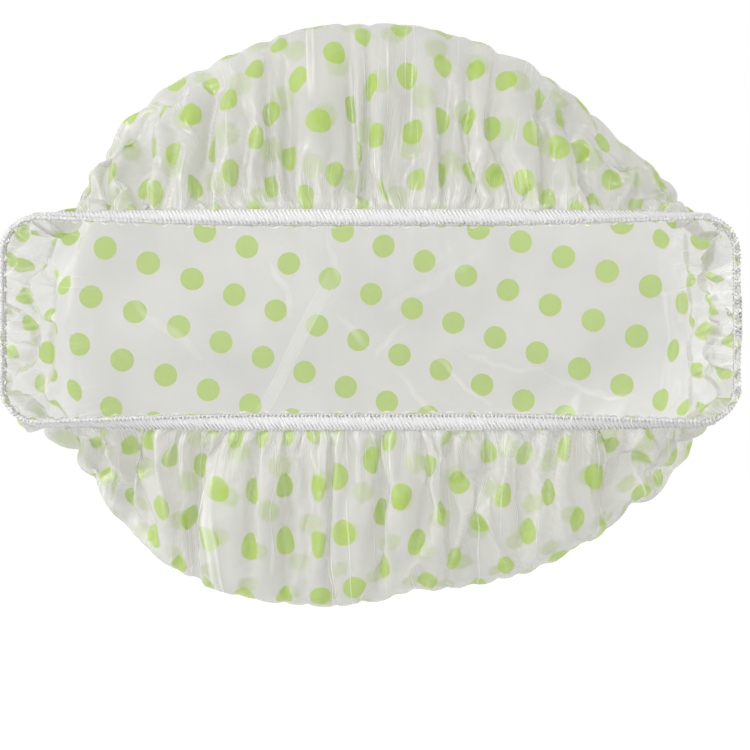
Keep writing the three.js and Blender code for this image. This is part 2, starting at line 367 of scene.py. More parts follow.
def smooth_between(before, first, second, after, part):
    """Points a part of the way from first to second, on the smooth curve through all four."""
    slope, next_slope = (second - before) / 2, (after - first) / 2
    cubic = 2 * first - 2 * second + slope + next_slope
    square = -3 * first + 3 * second - 2 * slope - next_slope
    return cubic * part ** 3 + square * part ** 2 + slope * part + first


def rim_points(shares, film):
    """The widest outline at shares of the girth, a smooth closed curve through the points of RIM_SHARES."""
    angles = FULL_TURN * np.arange(len(RIM_SHARES)) / len(RIM_SHARES)
    radii, depths = np.array(RIM_SHARES).T * np.array(((film.rim_radius,), (film.rim_depth,)))
    knots = np.stack((radii * np.cos(angles), depths, radii * np.sin(angles)), 1)
    place = (np.asarray(shares) % 1.0) * len(knots)
    index = np.floor(place).astype(int)
    part = (place - index)[:, None]
    before, first, second, after = (knots[(index + step) % len(knots)] for step in (-1, 0, 1, 2))
    return smooth_between(before, first, second, after, part)


def bezier(handles, steps):
    """Cubic curves through stacked handles, as points [curve, step, axis]."""
    t = np.linspace(0, 1, steps)[None, :, None]
    a, b, c, d = (handle[:, None] for handle in handles)
    return (1 - t) ** 3 * a + 3 * t * (1 - t) ** 2 * b + 3 * t * t * (1 - t) * c + t ** 3 * d


def film_runs(shares, cap):
    """The film's smooth runs from raw edge to middle of the crown, and how far along each point lies."""
    hem, film = cap.hem, cap.film
    frames = hem_frames(shares, hem)
    raw = hem_points(frames, -hem.seam_width / 2 - hem.raw_edge, 0)
    start = hem_points(frames, hem.seam_width / 2 + hem.flat_past_seam, 0)
    turn = rim_points(shares, film)
    span = np.linalg.norm(turn - start, axis=1)[:, None]
    middle = np.array((0, film.cap_depth, 0))
    outward = turn - middle
    outward[:, 1] = -film.crown_tilt * outward[:, 2]
    skirt = (
        start,
        start + frames.across * span * SKIRT_FROM_HEM_SHARE,
        turn - BACK * span * SKIRT_TO_RIM_SHARE,
        turn,
    )
    crown = (
        turn,
        turn + BACK * (film.cap_depth - turn[:, 1:2]) * CROWN_FROM_RIM_SHARE,
        middle + outward * CROWN_TO_MIDDLE_SHARE,
        np.broadcast_to(middle, turn.shape),
    )
    points = np.concatenate((raw[:, None], bezier(skirt, SKIRT_STEPS), bezier(crown, CROWN_STEPS)[:, 1:]), 1)
    steps = np.linalg.norm(np.diff(points, axis=1), axis=2)
    lengths = np.concatenate((np.zeros((len(steps), 1)), np.cumsum(steps, 1)), 1)
    return points, lengths


def points_along(points, lengths, distances):
    """One point on each run, at its own distance along."""
    rows = np.arange(len(points))
    index = np.clip((lengths <= distances[:, None]).sum(1) - 1, 0, points.shape[1] - 2)
    low, high = lengths[rows, index], lengths[rows, index + 1]
    part = ((distances - low) / np.maximum(high - low, 1e-9))[:, None]
    return points[rows, index] * (1 - part) + points[rows, index + 1] * part


# Film

def uneven_turns(shares, count, seed):
    """Shares of the girth, shifted so that count waves along them are unevenly wide."""
    random = np.random.default_rng(seed)
    fine = np.linspace(0, 1, 4096, endpoint=False)
    drift = sum(
        random.normal() * np.sin(FULL_TURN * (wave * fine + random.uniform())) / wave for wave in UNEVEN_WAVES
    )
    drift *= UNEVEN_SHARE / count / np.abs(drift).max()
    return shares + np.interp(shares, fine, drift, period=1)


def tucks(turns):
    """A wave from 1 to -1 whose crests, out of the cap, are wider than its valleys."""
    valley = np.exp(-TUCK_SHARPNESS * (1 + np.cos(FULL_TURN * turns)))
    least = math.exp(-2 * TUCK_SHARPNESS)
    return 1 - 2 * (valley - least) / (1 - least)


def main_pleats(shares):
    """How far the main pleats push the film out at shares of the girth, from -1 to 1."""
    drift = PLEAT_DRIFT_SHARE * np.sin(FULL_TURN * PLEAT_DRIFT_WAVES * shares)
    uneven = 1 - PLEAT_UNEVEN_SHARE * (1 + np.sin(FULL_TURN * PLEAT_UNEVEN_WAVES * shares)) / 2
    return uneven * np.cos(FULL_TURN * (PLEAT_COUNT * shares + drift))


def disc_layout(film):
    """The round sheet's grid: for each vertex its share round, its distance from the edge, and its ring."""
    half = film.grid // 2
    steps = np.arange(-half, half + 1, dtype=float)
    down, right = (axis.ravel() for axis in np.meshgrid(steps, steps, indexing="ij"))
    ring = np.maximum(np.abs(right), np.abs(down)).astype(int)
    wide = np.abs(right) >= np.abs(down)
    longer = np.where(wide, right, down)
    slant = np.where(wide, down, right) / np.where(longer == 0, 1, longer) * math.pi / 4
    angle = np.where(wide, slant, math.pi / 2 - slant)
    angle += np.where(wide & (right < 0), math.pi, 0) + np.where(~wide & (down < 0), math.pi, 0)
    inner = np.linspace(film.disc_diameter / 2, EDGE_RINGS[0], half + 2 - len(EDGE_RINGS))
    from_edge = np.concatenate((inner, EDGE_RINGS[1:]))
    return (angle / FULL_TURN) % 1.0, from_edge[ring], ring


def ring_lengths(points, shares, ring):
    """The length of each ring of the grid, closed, when its vertices lie at these points."""
    lengths = np.zeros(ring.max() + 1)
    for number in range(1, len(lengths)):
        members = np.nonzero(ring == number)[0]
        loop = points[members[np.argsort(shares[members])]]
        lengths[number] = np.linalg.norm(loop - np.roll(loop, 1, 0), axis=1).sum()
    return lengths


def grid_normals(points, count):
    """Normals of a square grid of points, out of the cap."""
    grid = points.reshape(count, count, 3)
    normals = np.cross(np.gradient(grid, axis=0), np.gradient(grid, axis=1))
    normals /= np.maximum(np.linalg.norm(normals, axis=2, keepdims=True), 1e-12)
    return normals.reshape(-1, 3)


def gathered_film(cap):
    """The sheet flat, laid smoothly over the cap and gathered, and each vertex's distance from the edge."""
    hem, film = cap.hem, cap.film
    radius = film.disc_diameter / 2
    shares, from_edge, ring = disc_layout(film)
    angle = shares * FULL_TURN
    out = radius - from_edge
    flat = np.stack((out * np.cos(angle), np.zeros_like(out), out * np.sin(angle)), 1)
    points, lengths = film_runs(shares, cap)
    total = lengths[:, -1]
    crown = radius * CROWN_SHARE
    outer = (total - crown) * from_edge / (radius - crown)
    smooth = points_along(points, lengths, np.where(out < crown, total - out, outer))
    normals = grid_normals(smooth, film.grid + 1)

    # The film's spare length round each ring goes into waves: fine ones at the hem, then fewer and wider ones
    fullness = ring_lengths(flat, shares, ring) / np.maximum(ring_lengths(smooth, shares, ring), 1e-9)
    spare = np.sqrt(np.maximum(fullness[ring] ** 2 - 1, 0))
    girth = girth_of(hem)
    push = np.zeros_like(out)
    for count, seed, share, low, peak, high in WAVES:
        fade = np.interp(from_edge, (low, peak, high), (0, 1, 0))
        wave = tucks(count * uneven_turns(shares, count, seed))
        push += fade * share * spare * girth / count / 4 * wave

    push += np.interp(from_edge, *PLEAT_FADE) * PLEAT_DEPTH * main_pleats(shares)

    # Where a run is shorter than the sheet, its slack is folded inwards
    slack = np.sqrt(np.maximum(((radius - crown) / (total - crown)) ** 2 - 1, 0))
    reach = radius - crown
    fade = np.interp(from_edge, (*SLACK_START, reach - SLACK_END, reach), (0, 1, 1, 0))
    waver = np.sin(FULL_TURN * SLACK_WAVES * uneven_turns(shares, SLACK_WAVES, SLACK_SEED))
    fold = FULL_TURN * (from_edge / SLACK_FOLD + SLACK_WAVER_SHARE * waver)
    push += fade * SLACK_SHARE * slack * SLACK_FOLD / 4 * (np.cos(fold) - 1)
    return flat, smooth, smooth + normals * push[:, None], from_edge


def new_object(name, data):
    added = bpy.data.objects.new(name, data)
    bpy.context.scene.collection.objects.link(added)
    return added


def new_piece(name, shape):
    """An object with the mesh that a bmesh has built up."""
    mesh = bpy.data.meshes.new(name)
    shape.to_mesh(mesh)
    shape.free()
    return new_object(name, mesh)


def sheet_piece(name, points, flat, count):
    """A square grid of faces through these points, facing out of the cap, with the flat sheet as UV map."""
    shape = bmesh.new()
    uv = shape.loops.layers.uv.new("flat_cut")
    bmesh.ops.create_grid(shape, x_segments=count, y_segments=count, size=1)
    shape.verts.ensure_lookup_table()
    for vertex, point in zip(shape.verts, points):
        vertex.co = point
    for face in shape.faces:
        face.smooth = True
        for loop in face.loops:
            loop[uv].uv = flat[loop.vert.index][::2]
    bmesh.ops.reverse_faces(shape, faces=shape.faces)
    return new_piece(name, shape)


def values_of(items, name, width, kind=float):
    """A value of a mesh's vertices, edges or loops, as one row for each."""
    values = np.empty(len(items) * width, kind)
    items.foreach_get(name, values)
    return values.reshape(-1, width)


def evaluated(piece):
    return piece.evaluated_get(bpy.context.evaluated_depsgraph_get())


def settle_film(piece, flat, smooth, from_edge, frames):
    """Lets the gathered sheet settle as cloth whose rest shape is the flat sheet, and keeps the result."""
    piece.shape_key_add(name="gathered")
    rest = piece.shape_key_add(name="flat")
    rest.data.foreach_set("co", flat.ravel())
    hold = piece.vertex_groups.new(name="hold")
    off_middle = np.abs(values_of(piece.data.vertices, "co", 3)[:, 0])
    firmness = np.maximum(np.interp(off_middle, *HOLD_RUNS), np.interp(from_edge, *HOLD_RIM))
    firmness[from_edge < SEWN_WIDTH] = 1
    for vertex, weight in enumerate(firmness):
        hold.add([vertex], weight, "REPLACE")

    # Cloth reads its rest shape key only when a modifier that rebuilds the mesh comes before it
    rebuild = piece.modifiers.new("rebuild", "WELD")
    rebuild.merge_threshold = 0
    cloth = piece.modifiers.new("settle", "CLOTH")
    for name, value in CLOTH_SETTINGS.items():
        setattr(cloth.settings, name, value)
    cloth.settings.vertex_group_mass = hold.name
    cloth.settings.rest_shape_key = rest
    cloth.settings.effector_weights.gravity = 0
    cloth.collision_settings.use_collision = False
    cloth.point_cache.frame_end = frames
    for number in range(1, frames + 1):
        bpy.context.scene.frame_set(number)
    settled = values_of(evaluated(piece).data.vertices, "co", 3)
    piece.modifiers.clear()
    piece.shape_key_clear()
    piece.vertex_groups.clear()
    settled += (smooth - settled) * np.interp(from_edge, *RIM_CALM)[:, None]
    piece.data.vertices.foreach_set("co", settled.ravel())
    bpy.context.scene.frame_set(1)


def refine(piece):
    """Subdivides the sheet once, smoothly, and keeps the finer mesh."""
    finer = piece.modifiers.new("finer", "SUBSURF")
    finer.levels = finer.render_levels = 1
    mesh = bpy.data.meshes.new_from_object(evaluated(piece))
    piece.modifiers.clear()
    old = piece.data
    piece.data = mesh
    bpy.data.meshes.remove(old)
    mesh.name = piece.name


def flat_places(mesh):
    """Where each vertex lies on the flat sheet."""
    vertex = values_of(mesh.loops, "vertex_index", 1, int)[:, 0]
    places = np.empty((len(mesh.vertices), 2))
    places[vertex] = values_of(mesh.uv_layers["flat_cut"].data, "uv", 2)
    return places


def crinkle(mesh, cap):
    """Fine creases by the hem and a ruffled raw edge, which are finer than the cloth's own grid."""
    hem, film = cap.hem, cap.film
    places = flat_places(mesh)
    shares = (np.arctan2(places[:, 1], places[:, 0]) / FULL_TURN) % 1.0
    from_edge = film.disc_diameter / 2 - np.linalg.norm(places, axis=1)
    points = values_of(mesh.vertices, "co", 3)
    normals = values_of(mesh.vertices, "normal", 3)
    frames = hem_frames(shares, hem)

    def waves(count, seed):
        return np.cos(FULL_TURN * count * uneven_turns(shares, count, seed))

    creases = sum(waves(count, seed) for count, seed in HEM_CREASE_SETS) / len(HEM_CREASE_SETS)
    points += normals * (np.interp(from_edge, *HEM_CREASE_DEPTHS) * creases)[:, None]

    ruffle = np.interp(from_edge, *RUFFLE_FADE)
    half = hem.mouth_length / 2
    fuller = np.interp(np.abs(frames.point[:, 0]), (half * RUFFLE_END_SHARE, half), (1, RUFFLE_FULLNESS))
    points += frames.out * (ruffle * waves(*RUFFLE_FLUTTER) * fuller * RUFFLE_DEPTH)[:, None]
    reach = RUFFLE_WIDTH + waves(*RUFFLE_REACH) * RUFFLE_REACH_DEPTH
    points += frames.across * (ruffle * reach * (2 - fuller))[:, None]
    mesh.vertices.foreach_set("co", points.ravel())


def mark_fold_whitening_and_highlights(mesh):
    """Stores how sharply the film bends at each vertex, from 0 to 1: bent film whitens, and the same white
    paints in the highlights along folds.
    """
    points = values_of(mesh.vertices, "co", 3)
    edges = values_of(mesh.edges, "vertices", 2, int)
    total = np.zeros_like(points)
    count = np.zeros(len(points))
    spacing = np.zeros(len(points))
    length = np.linalg.norm(points[edges[:, 0]] - points[edges[:, 1]], axis=1)
    for here, there in ((0, 1), (1, 0)):
        np.add.at(total, edges[:, here], points[edges[:, there]])
        np.add.at(count, edges[:, here], 1)
        np.add.at(spacing, edges[:, here], length)
    spacing /= count
    bend = np.linalg.norm(total / count[:, None] - points, axis=1) / spacing ** 2
    fold = np.interp(bend, WHITENING_AND_HIGHLIGHT_BENDS, (0, 1))
    # This value whitens the film: partly real whitening of bent film, partly painted highlight
    mesh.attributes.new("fold", "FLOAT", "POINT").data.foreach_set("value", fold)


# Sweeps round the hem

def swept(name, rings, material):
    """A closed tube through rings of points [ring, point, axis], with its length and girth as its UV map."""
    ring_count, ring_size = rings.shape[:2]
    shape = bmesh.new()
    shape.loops.layers.uv.new("sweep")
    bmesh.ops.create_grid(shape, x_segments=ring_size, y_segments=ring_count - 1, size=1, calc_uvs=True)
    closed = np.concatenate((rings, rings[:, :1]), 1).reshape(-1, 3)
    for vertex, point in zip(shape.verts, closed):
        vertex.co = point
    bmesh.ops.remove_doubles(shape, verts=shape.verts, dist=millimetres(0.001))
    ends = [edge for edge in shape.edges if edge.is_boundary]
    bmesh.ops.holes_fill(shape, edges=ends, sides=0)
    for face in shape.faces:
        face.smooth = len(face.verts) == 4
    bmesh.ops.recalc_face_normals(shape, faces=shape.faces)
    piece = new_piece(name, shape)
    piece.data.materials.append(material)
    return piece


def lap_rise(distance, hem):
    """How far a layer over the band's lap is lifted, 0 to 1, by its distance from the middle of the lap."""
    return np.clip((hem.band_lap / 2 + hem.lap_ramp - np.abs(distance)) / hem.lap_ramp, 0, 1)


def band_lift(hem):
    """Middle of the band above the middle of the film."""
    return hem.band_thickness / 2 + FILM_UNDER_BAND


def lap_lift(hem):
    return hem.band_thickness + LAP_ROOM


def thread_piece(name, stitch, diameter, reference, cap, material, over_lap):
    """A thread that repeats one stitch round the hem.

    The stitch is a list of places: how far on, in stitches, how far across the hem, how far out of the cap.
    """
    hem = cap.hem
    girth = girth_of(hem)
    count = round(girth / hem.stitch_pitch)
    knots = np.array(stitch)
    random = np.random.default_rng(len(name))
    shake = random.normal(size=(count, len(knots), 3)) * np.array(STITCH_SHAKE)
    path = np.arange(count)[:, None, None] * np.array((1.0, 0, 0)) + knots + shake
    path = path.reshape(-1, 3)
    place = np.linspace(0, len(path) - 1, count * STITCH_STEPS)
    index = np.clip(np.floor(place).astype(int), 0, len(path) - 2)
    part = (place - index)[:, None]
    before, first = path[np.maximum(index - 1, 0)], path[index]
    second, after = path[index + 1], path[np.minimum(index + 2, len(path) - 1)]
    run = smooth_between(before, first, second, after, part)
    distance = run[:, 0] * girth / count
    frames = hem_frames(distance / girth, hem)
    lift = run[:, 2]
    if over_lap:
        from_lap = np.minimum(distance % girth, girth - distance % girth)
        lift = lift + lap_lift(hem) * lap_rise(from_lap, hem)
    points = hem_points(frames, run[:, 1], lift)
    return swept(name, thread_rings(points, getattr(frames, reference), diameter), material)


def thread_rings(points, reference, diameter):
    """Rings of a pressed thread along points; the reference never runs along the thread."""
    heading = np.gradient(points, axis=0)
    heading /= np.linalg.norm(heading, axis=1, keepdims=True)
    side = np.cross(heading, reference)
    side /= np.linalg.norm(side, axis=1, keepdims=True)
    up = np.cross(side, heading)
    angle = FULL_TURN * np.arange(THREAD_SIDES) / THREAD_SIDES
    wide = up[:, None] * np.cos(angle)[None, :, None]
    thick = side[:, None] * np.sin(angle)[None, :, None] * THREAD_PRESS
    return points[:, None] + (wide + thick) * diameter / 2


# Materials

def node_adder(tree, end_kind):
    """Empties a node tree, and gives a function that adds a node and one that sets what the tree shows."""
    tree.nodes.clear()
    end = tree.nodes.new("ShaderNode" + end_kind)

    def add(kind, inputs=None, output=0, **settings):
        """Adds a node, whose inputs may be values or sockets, and gives one of its output sockets."""
        node = tree.nodes.new("ShaderNode" + kind)
        for key, value in settings.items():
            setattr(node, key, value)
        for key, value in (inputs or {}).items():
            if isinstance(value, bpy.types.NodeSocket):
                tree.links.new(value, node.inputs[key])
            else:
                node.inputs[key].default_value = value
        return node.outputs[output]

    def show(shader):
        tree.links.new(shader, end.inputs[0])

    return add, show


def new_material(name):
    material = bpy.data.materials.new(name)
    material.use_nodes = True
    return (material, *node_adder(material.node_tree, "OutputMaterial"))


def colour(value, share=1.0):
    return (*(min(1, part * share) for part in value), 1.0)


def calc(add, operation, *values):
    """The socket of a sum, product or other operation on numbers or sockets."""
    return add("Math", dict(enumerate(values)), operation=operation)


def moved(add, operation, *values):
    """The socket of an operation on vectors or their sockets."""
    return add("VectorMath", dict(enumerate(values)), operation=operation)


def scaled(add, vector, scale):
    return add("VectorMath", {0: vector, "Scale": scale}, operation="SCALE")


def length_of(add, vector):
    return add("VectorMath", {0: vector}, output="Value", operation="LENGTH")


def ramp(add, value, low, high, start=0, end=1):
    """Goes from start to end while the value goes from low to high, and stays there past them."""
    return add("MapRange", {0: value, 1: low, 2: high, 3: start, 4: end})


def noise(add, place, scale, detail, distortion=0, output="Fac"):
    return add("TexNoise", {
        "Vector": place, "Scale": scale, "Detail": detail, "Distortion": distortion,
    }, output)


def crooked_lines(add, place, detail, distortion, width):
    """1 on crooked lines, where a noise passes its middle, and 0 away from them."""
    off_line = calc(add, "ABSOLUTE", calc(add, "SUBTRACT", noise(add, place, 1, detail, distortion), 0.5))
    return ramp(add, off_line, 0, width, 1, 0)


def mixed(add, factor, first, second):
    """The colour socket of a mix of two colours or sockets."""
    return add("Mix", {0: factor, 6: first, 7: second}, 2, data_type="RGBA")


def bumped(add, height, strength, depth, normal=None):
    """The normal of a surface that a height raises by up to a depth in mm."""
    inputs = {"Strength": strength, "Distance": millimetres(depth), "Height": height}
    if normal:
        inputs["Normal"] = normal
    return add("Bump", inputs)


def placed(add, place, location, turn, scale=(1, 1)):
    """A place on the sheet, as seen from a location there that is turned and scaled."""
    return add("Mapping", {
        "Vector": place, "Location": (*location, 0), "Rotation": (0, 0, turn), "Scale": (*scale, 1),
    }, vector_type="TEXTURE")


def printed_spots(add, film, flat):
    """1 on a printed spot and 0 off it, with a slightly rough edge."""
    along, between = film.spot_spacing
    place = add("SeparateXYZ", {0: placed(add, flat, film.spot_place, film.spot_turn)}).node.outputs
    row = calc(add, "DIVIDE", place[1], between)
    column = calc(add, "DIVIDE", calc(add, "MULTIPLY_ADD", row, -film.spot_stagger, place[0]), along)
    off_row, off_column = (calc(add, "SUBTRACT", n, calc(add, "ROUND", n)) for n in (row, column))
    right = calc(add, "MULTIPLY_ADD", off_column, along, calc(add, "MULTIPLY", off_row, film.spot_stagger))
    up = calc(add, "MULTIPLY", off_row, between)
    reach = length_of(add, add("CombineXYZ", {0: right, 1: up}))
    roughness = millimetres(0.12)
    rough = calc(add, "ADD", reach, ramp(add, noise(add, flat, 900, 1), 0, 1, -roughness, roughness))
    radius, softness = film.spot_diameter / 2, millimetres(0.08)
    return ramp(add, rough, radius - softness, radius + softness, 1, 0)


def skirt_creases(add, film, flat, from_centre):
    """Fine creases that run straight out from the hem and fade, and longer ones that stray over the skirt."""
    edge = film.disc_diameter / 2
    on_circle = scaled(add, moved(add, "NORMALIZE", flat), film.crease_count / FULL_TURN)
    drift = add("CombineXYZ", {2: calc(add, "MULTIPLY", from_centre, CREASE_DRIFT)})
    place = moved(add, "ADD", on_circle, drift)
    near_hem = ramp(add, from_centre, edge - millimetres(30), edge - millimetres(12), 0, 0.9)
    fine = calc(add, "MULTIPLY", crooked_lines(add, place, 1, 0, 0.035), near_hem)

    patches = ramp(add, noise(add, flat, 34, 0), 0.42, 0.6)
    on_skirt = ramp(add, from_centre, *(edge * share for share in CROWN_TO_SKIRT))
    shown = calc(add, "MULTIPLY", patches, on_skirt)
    stray = calc(add, "MULTIPLY", crooked_lines(add, scaled(add, place, 0.11), 2, 0.8, 0.012), shown)
    return calc(add, "MAXIMUM", fine, stray)


def crown_fold(add, film, flat):
    """One soft fold that slants over the crown, as a pale strip between two lines, gone at its ends; its pale
    is partly real whitening of bent film and partly painted highlight.
    """
    fold_place = placed(add, flat, film.crown_fold_place, film.crown_fold_turn)
    axes = add("SeparateXYZ", {0: fold_place}).node.outputs
    sway = millimetres(5)
    swayed = calc(add, "ADD", axes[0], ramp(add, noise(add, flat, 16, 0), 0, 1, -sway, sway))
    across = calc(add, "ABSOLUTE", swayed)
    inside = ramp(add, across, millimetres(1.5), millimetres(4), 0.5, 0)
    off_line = calc(add, "ABSOLUTE", calc(add, "SUBTRACT", across, millimetres(2.7)))
    line = ramp(add, off_line, 0, millimetres(0.7), 0.4, 0)
    length = film.crown_fold_length
    shown = ramp(add, calc(add, "ABSOLUTE", axes[1]), length / 4, length / 2, 1, 0)
    return calc(add, "MULTIPLY", calc(add, "ADD", inside, line), shown)


def crown_creases(add, flat):
    """The short soft creases of CROWN_CREASES, a little bent."""
    bend = noise(add, flat, 60, 1, output="Color")
    bent = moved(add, "MULTIPLY_ADD", bend, (CREASE_BEND,) * 3, flat)
    creases = 0.0
    for x, z, turn, length, half_width, strength in CROWN_CREASES:
        middle = (millimetres(x) + CREASE_BEND / 2, millimetres(z) + CREASE_BEND / 2)
        scale = (millimetres(half_width), millimetres(length / 2))
        inside = moved(add, "MULTIPLY", placed(add, bent, middle, math.radians(turn), scale), (1, 1, 0))
        # Each crease whitens the film: partly real whitening of bent film, partly painted highlight
        crease = ramp(add, length_of(add, inside), 0.3, 1, strength, 0)
        creases = calc(add, "MAXIMUM", creases, crease)
    return creases


def film_material(film):
    """Frosted film: it scatters, lets light and shapes through, whitens at folds and creases, partly as real
    whitening of bent film and partly as painted highlight, and has printed spots.
    """
    material, add, show = new_material("printed_film")
    flat = add("UVMap", uv_map="flat_cut")
    from_centre = length_of(add, flat)
    spot = printed_spots(add, film, flat)
    crease = calc(add, "MAXIMUM", skirt_creases(add, film, flat, from_centre), crown_fold(add, film, flat))
    crease = calc(add, "MAXIMUM", crease, crown_creases(add, flat))
    bend = add("Attribute", output="Fac", attribute_name="fold")
    # Bent film and the creases both whiten: partly real whitening, partly painted highlight
    whitened_and_highlit = calc(add, "MAXIMUM", bend, crease)

    cloud = ramp(add, noise(add, flat, 22, 2), 0.32, 0.62)
    bare = mixed(add, cloud, colour(film.film_colour, 0.9), colour(film.film_colour))
    ink = mixed(add, noise(add, flat, 260, 2), colour(film.spot_colour), colour(film.spot_colour, 1.08))
    printed = mixed(add, spot, bare, ink)
    # Painted highlight: folds and creases are mixed towards white, partly as real whitening of bent film
    base = mixed(add, calc(add, "MULTIPLY", whitened_and_highlit, 0.6), printed, FOLD_WHITE_AND_HIGHLIGHT)

    grain = noise(add, flat, 1500, 2)
    stippled = bumped(add, grain, 0.1, 0.2)
    creased = bumped(add, crease, 0.5, 0.5, stippled)
    surface = bumped(add, noise(add, flat, 110, 2, 0.6), 0.18, 0.5, creased)

    front = add("BsdfPrincipled", {
        "Base Color": base, "Roughness": ramp(add, grain, 0, 1, 0.2, 0.3), "Normal": surface,
    })
    through = add("BsdfTranslucent", {"Color": base, "Normal": surface})
    body = add("MixShader", {0: 0.45, 1: front, 2: through})
    edge = film.disc_diameter / 2
    skirt_starts = (edge * share for share in CROWN_TO_SKIRT)
    smooth_cover = ramp(add, from_centre, *skirt_starts, COVER_CROWN, COVER_SKIRT)
    # Folds and creases let less through, which adds to their painted highlight
    bare_cover = ramp(add, whitened_and_highlit, 0, 1, smooth_cover, COVER_FOLD)
    cover = ramp(add, spot, 0, 1, bare_cover, COVER_SPOT)
    clear = add("BsdfTransparent", {"Color": WHITE})
    show(add("MixShader", {0: cover, 1: clear, 2: body}))
    return material


def slanted_fibres(add, scale, distortion, detail):
    """Fine bands that slant round a sweep, by its UV map."""
    sweep = add("UVMap", uv_map="sweep")
    place = add("Mapping", {"Vector": sweep, "Scale": (*scale, 1)})
    return add("TexWave", {
        "Vector": place, "Scale": 1.0, "Distortion": distortion, "Detail": detail,
    }, "Fac", bands_direction="DIAGONAL")


def soft_fibre(add, show, tone, normal, roughness, sheen, translucence):
    """Finishes a material whose fibres scatter light, let some through and have a soft sheen."""
    front = add("BsdfPrincipled", {
        "Base Color": tone, "Roughness": roughness, "Normal": normal,
        "Sheen Weight": sheen[0], "Sheen Roughness": sheen[1],
    })
    through = add("BsdfTranslucent", {"Color": tone, "Normal": normal})
    show(add("MixShader", {0: translucence, 1: front, 2: through}))


def thread_material(tone):
    """Spun thread: fine slanted fibres round the thread and a soft sheen."""
    material, add, show = new_material("spun_thread")
    fibre = slanted_fibres(add, (2, 9000), 1.5, 2)
    fluff = noise(add, add("TexCoord", output="Object"), 1200, 2)
    tones = mixed(add, fluff, colour(tone, 0.93), colour(tone))
    soft_fibre(add, show, tones, bumped(add, fibre, 0.5, 0.08), 0.75, (0.25, 0.4), 0.45)
    return material


def band_material(tone):
    """Braided elastic: a fine slanting braid over the ribs, darker in the braid's grooves as painted shade.
    """
    material, add, show = new_material("elastic_braid")
    braid = slanted_fibres(add, (6, 900), 0.4, 1)
    fluff = noise(add, add("TexCoord", output="Object"), 700, 3)
    shade = mixed(add, fluff, colour(tone, 0.92), colour(tone))
    # Painted shade: the braid's low bands, where its bump sinks, are painted darker
    braid_with_painted_shade = mixed(add, braid, colour(tone, 0.88), shade)
    soft_fibre(add, show, braid_with_painted_shade, bumped(add, braid, 0.6, 0.12), 0.85, (0.2, 0.5), 0.2)
    return material


def stage_is_seen(add):
    """1 for a ray from the camera, off a glossy face or through glass, and 0 for light on the object."""
    rays = add("LightPath").node.outputs
    gloss = calc(add, "MAXIMUM", rays["Is Camera Ray"], rays["Is Glossy Ray"])
    return calc(add, "MAXIMUM", gloss, rays["Is Transmission Ray"])


def floor_material():
    """A pale floor that reads as white to the camera and still takes the cap's shadow."""
    material, add, show = new_material("pale_floor")
    matt = add("BsdfDiffuse", {"Color": FLOOR_GREY})
    white = add("Emission", {"Color": WHITE, "Strength": 1.2})
    part = calc(add, "MULTIPLY", stage_is_seen(add), 0.8)
    show(add("MixShader", {0: part, 1: matt, 2: white}))
    return material


# Operators

class CapOperator:
    bl_options = {"REGISTER", "UNDO"}

    def cap(self, context):
        return context.scene.shower_cap


class SHOWERCAP_OT_film(CapOperator, bpy.types.Operator):
    """Makes the film: skirt, crown and raw edge, all one round sheet"""
    bl_idname = "shower_cap.film"
    bl_label = "Film"

    def execute(self, context):
        cap = self.cap(context)
        flat, smooth, gathered, from_edge = gathered_film(cap)
        piece = sheet_piece("spotted_film", gathered, flat, cap.film.grid)
        settle_film(piece, flat, smooth, from_edge, cap.film.settle_frames)
        refine(piece)
        crinkle(piece.data, cap)
        mark_fold_whitening_and_highlights(piece.data)
        piece.data.materials.append(film_material(cap.film))
        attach(piece, BODY)
        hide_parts("film")
        return {"FINISHED"}


class SHOWERCAP_OT_band(CapOperator, bpy.types.Operator):
    """Makes the elastic band, which goes once round the hem and laps its own start"""
    bl_idname = "shower_cap.band"
    bl_label = "Elastic band"

    def execute(self, context):
        hem = self.cap(context).hem
        girth = girth_of(hem)
        distance = np.linspace(-hem.band_lap / 2, girth + hem.band_lap / 2, BAND_STEPS)
        rise = np.where(distance > girth / 2, lap_rise(distance - girth, hem), 0)
        frames = hem_frames(distance / girth, hem)
        lift = band_lift(hem) + lap_lift(hem) * rise
        ribs = 2 * hem.band_ribs
        across = np.linspace(-1, 1, ribs + 1) * hem.band_width / 2
        valley = np.where(np.arange(ribs + 1) % 2 == 0, RIB_GROOVE, 0)
        section = [(a, hem.band_thickness / 2 - v) for a, v in zip(across, valley)]
        section += [(a, -hem.band_thickness / 2 + v) for a, v in zip(across[::-1], valley)]
        rings = np.stack([hem_points(frames, a, lift + b) for a, b in section], 1)
        piece = swept("braided_elastic", rings, band_material(hem.band_colour))
        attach(piece, BODY)
        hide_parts("elastic_band")
        return {"FINISHED"}


